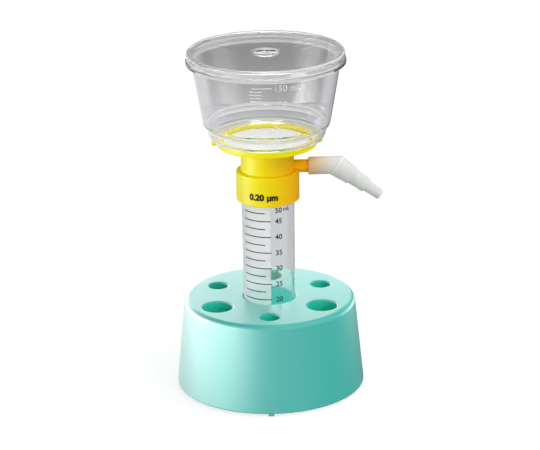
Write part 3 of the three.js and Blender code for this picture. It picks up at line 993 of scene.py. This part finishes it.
def base_body():
    recess = MEMBRANE_RADIUS + SEAT_GAP
    neck_bore = NECK_RADIUS - NECK_WALL
    spout_bottom = TUBE_RIM - SPOUT_REACH
    return revolved("base_body", [
        (SPOUT_BORE, spout_bottom),
        (SPOUT_RADIUS, spout_bottom, EDGE_SMALL),
        (SPOUT_RADIUS, DISH_UNDERSIDE, EDGE_FULL),
        (neck_bore, DISH_UNDERSIDE),
        (neck_bore, ROOF_UNDERSIDE, EDGE_MEDIUM),
        (COLLAR_BORE, ROOF_UNDERSIDE),
        (COLLAR_BORE, COLLAR_BOTTOM, EDGE_SMALL),
        (COLLAR_RADIUS, COLLAR_BOTTOM, COLLAR_MOUTH_FILLET),
        (COLLAR_RADIUS, COLLAR_TOP, COLLAR_FILLET),
        (NECK_RADIUS, COLLAR_TOP, NECK_FILLET),
        (NECK_RADIUS, DISH_UNDERSIDE, NECK_FILLET),
        (FLANGE_RADIUS - FLANGE_CHAMFER, DISH_UNDERSIDE, FLANGE_ROOT_FILLET),
        (FLANGE_RADIUS, FLANGE_BOTTOM, FLANGE_FILLET),
        (FLANGE_RADIUS, RING_TOP, FLANGE_FILLET),
        (recess, RING_TOP, FLANGE_FILLET),
        (recess, DISH_TOP),
        (SPOUT_BORE, DISH_TOP, EDGE_MEDIUM),
    ])


def along_port(name, corners):
    """Turned piece whose own axis is laid along +X at the port's height."""
    piece = revolved(name, corners, PORT_SEGMENTS)
    moved(piece, Matrix.Rotation(math.radians(90), 4, "Y"))
    return moved(piece, Matrix.Translation((0.0, 0.0, PORT_HEIGHT * MM)))


def make_base(looks):
    root = NECK_RADIUS - NECK_WALL / 2.0
    inside = revolved("inside", rod(COLLAR_BORE, COLLAR_BOTTOM, ROOF_UNDERSIDE))
    nipple = along_port("nipple", rod(PORT_RADIUS, root, PORT_REACH, PORT_MOUTH_FILLET))
    nipple = combined(nipple, [inside], "DIFFERENCE")
    bore = along_port("bore", rod(PORT_BORE, NECK_RADIUS - NECK_WALL * 2.0, PORT_REACH + NECK_WALL))
    lug_radii = ((MEMBRANE_RADIUS + SEAT_GAP + FLANGE_RADIUS) / 2.0, FLANGE_RADIUS + LUG_REACH)
    lug_heights = (LUG_BOTTOM, LUG_BOTTOM + LUG_THICKNESS)
    lugs = [
        peg("lug", lug_radii, LUG_WIDTH, lug_heights, LUG_BEVEL, degrees)
        for degrees in (LUG_ANGLE, LUG_ANGLE + 180)]
    ridge = thread_ridge(
        "ridge", COLLAR_BORE + THREAD_ROOT_DEPTH, COLLAR_BORE - THREAD_HEIGHT,
        THREAD_BOTTOM - THREAD_PITCH / 2.0)
    body = combined(base_body(), [nipple, ridge, *lugs], "UNION")
    body = combined(body, [bore], "DIFFERENCE")
    return dressed(body, looks["base"], "filter_unit", ["filter_base"])


def make_collar_print(looks):
    label = lettering(
        "collar_print", "0.20 µm", COLLAR_TEXT_HEIGHT, lambda height: COLLAR_RADIUS,
        COLLAR_TEXT_MIDDLE, COLLAR_TEXT_BASE, PRINT_PLATE, COLLAR_TEXT_WEIGHT, "CENTER")
    dressed(label, looks["black"], "filter_unit")


def disc(name, node, edge):
    return revolved(name, rod(MEMBRANE_RADIUS, low_mm(node).z, high_mm(node).z, edge))


def make_membrane(looks):
    web = disc("support_disc", "membrane_support", EDGE_FINE)
    dressed(web, looks["support"], "filter_unit", ["membrane_support"])
    film = disc("membrane_film", "membrane", MEMBRANE_EDGE)
    dressed(film, looks["membrane"], "filter_unit", ["membrane"])


# ---- Funnel ----


def bowl_shoulder():
    """Arc that turns the wall in to the step, from the step up, in line with the wall at its top."""
    chord = math.atan2(BOWL_SHOULDER_OUT, BOWL_SHOULDER_RISE)
    sweep = 2.0 * (chord - BOWL_TAPER)
    radius = math.hypot(BOWL_SHOULDER_OUT, BOWL_SHOULDER_RISE) / (2.0 * math.sin(sweep / 2.0))
    arc = []
    for step in range(BOWL_SHOULDER_STEPS + 1):
        angle = BOWL_TAPER + sweep * (1.0 - step / BOWL_SHOULDER_STEPS)
        arc.append((
            BOWL_WALL_START + radius * (math.cos(angle) - math.cos(BOWL_TAPER)),
            BOWL_SHOULDER_TOP - radius * (math.sin(angle) - math.sin(BOWL_TAPER))))
    return arc


def make_funnel(looks):
    """Clear bowl; its foot ends a little above the solid's, where the photo shows the flange."""
    skirt_bore = FLANGE_RADIUS + SEAT_GAP
    ledge = bowl_radius(BOWL_SHOULDER_TOP) - BOWL_WALL
    bowl = revolved("funnel_bowl", [
        (skirt_bore, SKIRT_BOTTOM + BOWL_FOOT_TRIM, EDGE_SMALL),
        (BOWL_FOOT_RADIUS, SKIRT_BOTTOM + BOWL_FOOT_TRIM, BOWL_FOOT_FILLET),
        (BOWL_HEEL_RADIUS, SKIRT_BOTTOM + BOWL_HEEL_HEIGHT, BOWL_HEEL_FILLET),
        *bowl_shoulder(),
        (bowl_radius(LIP_BOTTOM), LIP_BOTTOM, EDGE_FULL),
        (LIP_RADIUS, LIP_BOTTOM, LIP_FILLET),
        (LIP_RADIUS, LIP_TOP, LIP_FILLET),
        (RIM_STUB_RADIUS, LIP_TOP, EDGE_MEDIUM),
        (RIM_STUB_RADIUS, BOWL_RIM, LIP_FILLET),
        (bowl_radius(BOWL_RIM) - BOWL_WALL, BOWL_RIM, LIP_FILLET),
        (ledge, BOWL_SHOULDER_TOP, BOWL_LEDGE_FILLET),
        (ledge - BOWL_LEDGE_WIDTH, BOWL_SHOULDER_TOP - BOWL_LEDGE_DROP, BOWL_LEDGE_FILLET),
        (BOWL_HEEL_RADIUS - BOWL_HEEL_WALL, BOWL_FLOOR_TOP, BOWL_FLOOR_FILLET),
        (BOWL_FLOOR_BORE, BOWL_FLOOR_TOP, EDGE_FULL),
        (BOWL_FLOOR_BORE, BOWL_FLOOR_BOTTOM, EDGE_FINE),
        (skirt_bore, BOWL_FLOOR_BOTTOM, EDGE_SMALL),
    ])
    dressed(bowl, looks["bowl"], "filter_unit", ["funnel"])
    painted(bowl, looks["weld"], in_bands(
        ((0.0, BOWL_WELD_RADIUS), (SKIRT_BOTTOM, BOWL_FLOOR_TOP + BOWL_FLOOR_FILLET))))
    # Painted highlight on the lip's lower fillet.
    return painted(bowl, looks["rim"], in_bands(
        ((LIP_RADIUS - LIP_FILLET, LIP_RADIUS + PAINT_MARGIN), (LIP_BOTTOM, LIP_BOTTOM + LIP_FILLET))))


def make_funnel_marks(looks):
    """Raised volume scale on the front of the bowl."""
    marks = []
    for text, height, size in MARK_SCALE:
        marks.append(wall_line(bowl_radius, MARK_MAJOR, height, MARK_LINE, MARK_PLATE))
        marks.append(lettering(
            "number", text, size, bowl_radius, MARK_NUMERAL_START, height - size / 2.0,
            MARK_PLATE))
    lower, upper = MARK_SCALE[1][1], MARK_SCALE[2][1]
    for step in range(1, MARK_STEPS):
        height = lower + (upper - lower) * step / MARK_STEPS
        marks.append(wall_line(bowl_radius, MARK_MINOR, height, MARK_LINE, MARK_PLATE))
    return dressed(merged("funnel_marks", marks), looks["mark"], "filter_unit")


# ---- Lid ----


def lid_dimple(floor):
    """Shallow round hollow, from beside the nub out to the plate's top."""
    arc = []
    for step in range(1, LID_DIMPLE_STEPS + 1):
        share = step / LID_DIMPLE_STEPS
        arc.append((LID_DIMPLE_RADIUS * share, floor + LID_DIMPLE_DEPTH * share * share))
    return arc


def make_lid(looks):
    dimple_floor = LID_PLATE_TOP - LID_DIMPLE_DEPTH
    dimple_underside = dimple_floor - LID_PLATE
    dimple_out = LID_DIMPLE_RADIUS + LID_PLATE
    rim_inside = LID_RADIUS - LID_RIM_WIDTH
    inner = LID_RADIUS - LID_SKIRT_WALL
    skirt_bottom = LIP_TOP + SEAT_GAP
    lid = revolved("lid_cover", [
        (0.0, dimple_floor + LID_NUB_HEIGHT),
        (LID_NUB_RADIUS, dimple_floor + LID_NUB_HEIGHT, EDGE_FINE),
        (LID_NUB_RADIUS, dimple_floor, EDGE_FAINT),
        *lid_dimple(dimple_floor),
        (rim_inside, LID_PLATE_TOP, EDGE_FINE),
        (rim_inside, LID_TOP, EDGE_FINE),
        (LID_RADIUS, LID_TOP, LID_EDGE_FILLET),
        (LID_RADIUS, skirt_bottom, LID_SKIRT_FILLET),
        (inner, skirt_bottom, LID_SKIRT_FILLET),
        (inner, LID_UNDERSIDE, EDGE_SMALL),
        (dimple_out, LID_UNDERSIDE, EDGE_MEDIUM),
        (dimple_out - LID_DIMPLE_DEPTH / 2.0, dimple_underside, LID_DIMPLE_FILLET),
        (0.0, dimple_underside),
    ])
    tick_radii = (inner + LID_SKIRT_WALL / 2.0, LID_RADIUS + LID_TICK_RISE)
    tick_heights = (skirt_bottom + LID_TICK_LIFT, LID_TOP - LID_TICK_DROP)
    lid = combined(lid, [
        peg("tick", tick_radii, LID_TICK_WIDTH, tick_heights, LID_TICK_BEVEL, degrees)
        for degrees in LID_TICK_ANGLES], "UNION")
    dressed(lid, looks["lid"], "filter_unit", ["lid"])
    # Painted highlight on the rim's fillets and the skirt's lower edge.
    return painted(lid, looks["rim"], in_bands(
        ((LID_RADIUS - LID_EDGE_FILLET, LIP_RADIUS), (LID_TOP - LID_EDGE_FILLET, LID_TOP)),
        ((rim_inside - PAINT_MARGIN, rim_inside + EDGE_FINE), (LID_PLATE_TOP + PAINT_MARGIN, LID_TOP)),
        ((LID_RADIUS - LID_SKIRT_FILLET, LIP_RADIUS), (skirt_bottom, skirt_bottom + LID_SKIRT_FILLET)),
    ))


# ---- Hose adapter ----


def adapter_ring(centre, tilt, wide, tall):
    """Ring of points; wide is its half width along Y, tall its half height across the axis."""
    up = Vector((math.sin(tilt), 0.0, math.cos(tilt)))
    ring = []
    for step in range(PORT_SEGMENTS):
        angle = TURN * step / PORT_SEGMENTS
        point = centre + up * (tall * math.sin(angle))
        point.y += wide * math.cos(angle)
        ring.append(point)
    return ring


def make_adapter(looks):
    bend = ADAPTER_BEND
    mitre_tall = ADAPTER_RADIUS / math.cos(bend)
    mitre = Vector((ADAPTER_MITRE_X, 0.0, PORT_HEIGHT))
    down = Vector((math.cos(bend), 0.0, -math.sin(bend)))

    def straight(x, radius):
        return adapter_ring(Vector((x, 0.0, PORT_HEIGHT)), 0.0, radius, radius)

    def bent(distance, wide, tall=None):
        return adapter_ring(mitre + down * distance, bend, wide, tall or wide)

    def bead(distance, rise):
        return bent(distance, ADAPTER_RADIUS + rise, mitre_tall + rise)

    rings = []
    for back, shrink in reversed(STEP_EDGE):
        rings.append(straight(ADAPTER_START + ADAPTER_EDGE * back, ADAPTER_RADIUS - ADAPTER_EDGE * shrink))
    rings += [
        bead(-ADAPTER_BEAD_FOOT, 0.0),
        bead(-ADAPTER_BEAD_CREST, ADAPTER_BEAD),
        bead(ADAPTER_BEAD_CREST, ADAPTER_BEAD),
        bead(ADAPTER_BEAD_FOOT, 0.0),
    ]
    along = 0.0
    for length, start_radius, end_radius in (
            (ELBOW_LENGTH, None, ELBOW_END_RADIUS),
            (BARREL_LENGTH, BARREL_START_RADIUS, BARREL_END_RADIUS),
            (TIP_LENGTH, TIP_START_RADIUS, TIP_END_RADIUS)):
        if start_radius:
            rings.append(bent(along, start_radius))
        along += length
        for back, shrink in STEP_EDGE:
            rings.append(bent(along - ADAPTER_EDGE * back, end_radius - ADAPTER_EDGE * shrink))
    socket = skin("socket", [
        straight(ADAPTER_START - ADAPTER_EDGE, PORT_RADIUS + ADAPTER_SOCKET_GAP),
        straight(ADAPTER_START + ADAPTER_SOCKET_DEPTH, PORT_RADIUS + ADAPTER_SOCKET_GAP),
    ])
    bore = skin("bore", [
        straight(ADAPTER_START, ADAPTER_BORE),
        bent(0.0, ADAPTER_BORE, ADAPTER_BORE / math.cos(bend)),
        bent(ELBOW_LENGTH, ADAPTER_BORE),
        bent(along + ADAPTER_EDGE, ADAPTER_BORE),
    ])
    body = combined(skin("adapter_elbow", rings), [socket, bore], "DIFFERENCE")
    dressed(body, looks["adapter"], "adapter", ["hose_adapter"])
    painted(
        body, looks["bead"],
        lambda place: abs((place - mitre).dot(down)) < ADAPTER_BEAD_FOOT + PAINT_MARGIN)


# ---- Camera, floor and light ----


def make_camera():
    """Long lens, a little above the lid, with the slight lean of a hand-set camera."""
    back = Vector((0.0, -math.cos(CAMERA_PITCH), math.sin(CAMERA_PITCH)))
    right = Vector((1.0, 0.0, 0.0))
    up = back.cross(right)
    across = right * math.cos(CAMERA_LEAN) + up * math.sin(CAMERA_LEAN)
    upward = up * math.cos(CAMERA_LEAN) - right * math.sin(CAMERA_LEAN)
    data = bpy.data.cameras.new("camera")
    data.sensor_width = CAMERA_SENSOR
    data.lens = CAMERA_LENS
    data.clip_end = 20.0
    place = Matrix((across, upward, back)).transposed().to_4x4()
    place.translation = (CAMERA_TARGET + back * CAMERA_DISTANCE) * MM
    camera = placed("camera", data)
    camera.matrix_world = place
    bpy.context.scene.camera = camera


def fade_sides(data, share):
    """Dims an area lamp smoothly over that share of its half width, next to both its upright edges."""
    data.use_nodes = True
    tree = data.node_tree
    place = add_node(tree, "NewGeometry").outputs["Parametric"]
    across = add_node(tree, "SeparateXYZ", Vector=place).outputs["X"]
    inward = calculated(tree, "PINGPONG", across)
    feed(tree, tree.nodes["Emission"].inputs["Strength"], smooth_step(tree, inward, (0.0, share / 2.0)))


def light_only(lamp, pieces):
    """Limits a lamp to those pieces."""
    only = bpy.data.collections.new(lamp.name)
    for piece in pieces:
        only.objects.link(piece)
    lamp.light_linking.receiver_collection = only


def soft_box(name, place, size, radiance, receivers=None, fade=0.0, gloss=True):
    """Area lamp aimed at the object, seen only in gloss and in clear plastic, or only as plain light.

    Place is azimuth, elevation and distance in metres; azimuth 0 is the viewer's side, and 90 is the
    left. Receivers are the pieces it lights, if not all.
    """
    azimuth, elevation, distance = place
    aim = Vector((0.0, 0.0, AIM_NEAR if distance < 1.0 else AIM_FAR))
    side, lift = math.radians(azimuth), math.radians(elevation)
    away = Vector((-math.sin(side) * math.cos(lift), -math.cos(side) * math.cos(lift), math.sin(lift)))
    data = bpy.data.lights.new(name, "AREA")
    data.shape = "RECTANGLE"
    data.size, data.size_y = size
    data.energy = radiance * math.pi * size[0] * size[1]
    if fade:
        fade_sides(data, fade)
    lamp = placed(name, data)
    lamp.location = aim + away * distance
    lamp.rotation_euler = away.to_track_quat("Z", "Y").to_euler()
    lamp.visible_camera = False
    lamp.visible_transmission = gloss
    lamp.visible_diffuse = not gloss
    lamp.visible_glossy = gloss
    if receivers:
        light_only(lamp, receivers)


def well_glow(stand):
    """Small lamp down the centre well, for the light that the translucent stand lets into it."""
    bulb = bpy.data.lights.new("well_glow", "POINT")
    bulb.energy = WELL_GLOW_POWER
    bulb.shadow_soft_size = WELL_GLOW_SIZE
    lamp = placed("well_glow", bulb)
    lamp.location = (0.0, 0.0, (STAND_TOP - WELL_GLOW_DEPTH) * MM)
    lamp.visible_camera = False
    lamp.visible_glossy = False
    lamp.visible_transmission = False
    light_only(lamp, [stand])


def floor_rings(tree, distance, across, depth):
    """Grey rings of painted shade for rays that pass clear plastic, broken by one even tone in eight
    sectors.
    """
    ring = add_node(tree, "ValToRGB", Fac=distance)
    ring.color_ramp.interpolation = "B_SPLINE"
    stops = ring.color_ramp.elements
    for index, (reach, level) in enumerate(FLOOR_RINGS):
        stop = stops[index] if index < len(stops) else stops.new(reach)
        stop.position = reach
        stop.color = (*(level * tint for tint in FLOOR_RING_TINT), 1.0)
    bearing = calculated(tree, "ARCTAN2", depth, across)
    wave = calculated(tree, "COSINE", calculated(tree, "MULTIPLY", bearing, FLOOR_SECTORS))
    share = smooth_step(tree, wave, FLOOR_SECTOR_SPAN)
    return mixed_colour(tree, share, ring.outputs["Color"], FLOOR_SECTOR_TONE)


def make_floor():
    """Floor with a look for each kind of ray.

    The viewer sees a soft shadow on near white that turns white further out. Clear plastic shows grey
    rings of painted shade, mirrors show a sheen that is brighter on the left, and other rays see
    plain grey.
    """
    half = FLOOR_HALF
    floor = new_object("floor", [
        (-half, -half, 0.0), (half, -half, 0.0), (half, half, 0.0), (-half, half, 0.0)], [(0, 1, 2, 3)])
    material = principled("floor", (0.5, 0.5, 0.5, 1.0), Roughness=0.9, Specular_IOR_Level=0.0)
    tree = material.node_tree
    place = add_node(tree, "NewGeometry").outputs["Position"]
    length = add_node(tree, "VectorMath", {"operation": "LENGTH"})
    feed(tree, length.inputs[0], place)
    distance = length.outputs["Value"]
    split = add_node(tree, "SeparateXYZ", Vector=place).outputs
    glow = add_node(tree, "Emission", Strength=smooth_step(tree, distance, FLOOR_GLOW_SPAN, FLOOR_GLOW))
    shadow = add_node(tree, "BsdfDiffuse", Color=(FLOOR_SHADOW, FLOOR_SHADOW, FLOOR_SHADOW, 1.0))
    seen = add_node(tree, "AddShader")
    feed(tree, seen.inputs[0], glow.outputs["Emission"])
    feed(tree, seen.inputs[1], shadow.outputs["BSDF"])
    # Painted shade seen through clear plastic.
    shade_behind = add_node(tree, "Emission", Color=floor_rings(tree, distance, split["X"], split["Y"]))
    sheen = add_node(
        tree, "Emission", Strength=smooth_step(tree, split["X"], FLOOR_SHEEN_SPAN, FLOOR_SHEEN))
    look = split_by_ray(
        tree, shader_of(material).outputs["BSDF"], sheen.outputs["Emission"], seen.outputs["Shader"],
        shade_behind.outputs["Emission"])
    feed(tree, tree.nodes["Material Output"].inputs["Surface"], look)
    floor.data.materials.append(material)


def make_world():
    """Room with a soft light, dark in mirrors, white to the viewer and pale through clear plastic."""
    world = bpy.data.worlds.new("studio")
    world.use_nodes = True
    bpy.context.scene.world = world
    tree = world.node_tree
    room = tree.nodes["Background"]
    room.inputs["Color"].default_value = (0.95, 0.97, 1.0, 1.0)
    room.inputs["Strength"].default_value = 0.2
    mirrored = add_node(tree, "Background", Strength=0.14)
    seen = add_node(tree, "Background", Color=(1.0, 1.0, 1.0, 1.0))
    through = add_node(tree, "Background", Color=(0.8, 0.8, 0.81, 1.0))
    look = split_by_ray(tree, *(node.outputs["Background"] for node in (room, mirrored, seen, through)))
    feed(tree, tree.nodes["World Output"].inputs["Surface"], look)


def make_lamps(stand, tube, base, field, bowl, marks, lid):
    clear = [tube, bowl, marks, lid]
    deck = [stand, tube]
    soft_box("light_high_right", (-55, 45, 1.2), (1.3, 0.7), 2.5, gloss=False)
    soft_box("light_low_right", (-24, 8, 1.2), (0.9, 0.6), 2.8, gloss=False)
    soft_box("light_low_left", (40, 8, 1.2), (0.8, 0.7), 1.0, gloss=False)
    soft_box("light_top", (-150, 70, 1.2), (1.1, 1.0), 2.5, gloss=False)
    soft_box("left_light", (72, 5, 1.2), (0.8, 0.6), 5.0, [base, field], gloss=False)
    soft_box("base_gloss", (78, 5, 0.5), (0.7, 0.5), 17.0, [base], 1.0)
    soft_box("stand_gloss", (80, 2, 0.8), (1.2, 0.16), 12.5, [stand])
    soft_box("stand_card_front", (45, 0, 0.34), (0.3, 0.12), 3.6, [stand])
    soft_box("stand_card_left", (106, 0, 0.34), (0.36, 0.12), 8.5, [stand])
    soft_box("stand_card_right", (-125, 0, 0.34), (0.24, 0.12), 3.8, [stand])
    soft_box("deck_card_left", (150, 13, 0.5), (0.3, 0.16), 5.6, deck)
    soft_box("deck_card_back", (178, 14, 0.5), (0.4, 0.16), 3.4, deck)
    soft_box("clear_left", (78, 1, 1.15), (1.7, 0.34), 3.4, clear, 1.0)
    soft_box("clear_right", (-76, 1, 1.15), (1.8, 0.34), 1.8, clear, 1.0)
    soft_box("clear_back", (136, 4, 1.2), (0.7, 0.3), 1.4, clear)
    soft_box("clear_top", (180, 62, 1.2), (0.3, 0.14), 12.0, clear)
    soft_box("lid_top", (180, 56, 1.2), (0.3, 0.16), 12.0, [lid])
    well_glow(stand)
    soft_box("lid_back", (180, 3, 1.2), (0.5, 0.45), 3.2, [lid])
    soft_box("clear_low", (60, -4, 1.2), (0.6, 0.3), 1.9, clear)


def set_render():
    """Plain colours, and enough bounces to see through every wall of the clear pieces."""
    scene = bpy.context.scene
    scene.view_settings.view_transform = "Standard"
    scene.cycles.max_bounces = 32
    scene.cycles.glossy_bounces = 24
    scene.cycles.transmission_bounces = 24
    scene.cycles.transparent_max_bounces = 16


looks = make_materials()
stand = make_stand(looks)
tube = make_tube(looks)
field = make_tube_print(looks)
make_gasket(looks)
base = make_base(looks)
make_collar_print(looks)
make_membrane(looks)
bowl = make_funnel(looks)
marks = make_funnel_marks(looks)
lid = make_lid(looks)
make_adapter(looks)
make_camera()
make_floor()
make_world()
make_lamps(stand, tube, base, field, bowl, marks, lid)
set_render()
